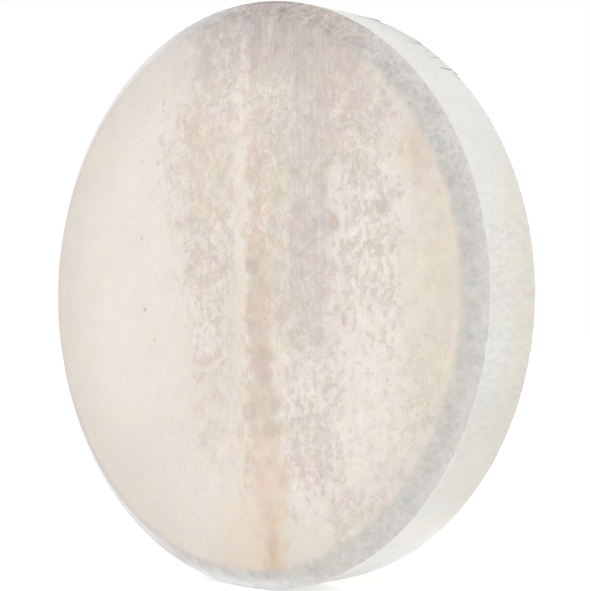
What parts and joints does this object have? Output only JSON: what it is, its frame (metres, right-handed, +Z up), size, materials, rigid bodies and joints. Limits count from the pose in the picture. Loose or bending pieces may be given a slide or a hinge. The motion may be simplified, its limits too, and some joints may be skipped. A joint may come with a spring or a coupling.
{
  "type": "frame drum",
  "caption": "Round hand-held frame drum: natural rawhide over a bevelled wooden hoop, laced at the back to a leather-bound ring that serves as the grip.",
  "frame": {"origin": "centre of the steel ring that the hand holds, on the drum's axis", "axes": "+Y along the drum's axis out of the open back, towards the player; the playing face looks along -Y; +Z up; +X to the right for someone who looks at the playing face"},
  "size_m": [0.5, 0.078, 0.5],
  "materials": {
    "rawhide": "natural, matt",
    "thong": "twisted rawhide, dried",
    "ash": "sanded and oiled",
    "steel": "dull",
    "lace": "tanned, satin"
  },
  "bodies": {
    "root": {"hoop_inner_ply": "ash", "hoop_middle_ply": "ash", "hoop_outer_ply": "ash", "drumhead": "rawhide", "grip_ring": "steel", "lacing_right": "thong", "lacing_top": "thong", "lacing_left": "thong", "lacing_bottom": "thong", "spoke_wrap_right": "lace", "spoke_wrap_top": "lace", "spoke_wrap_left": "lace", "spoke_wrap_bottom": "lace", "ring_wrap_upper_right": "lace", "ring_wrap_upper_left": "lace", "ring_wrap_lower_left": "lace", "ring_wrap_lower_right": "lace"}
  },
  "joints": []
}
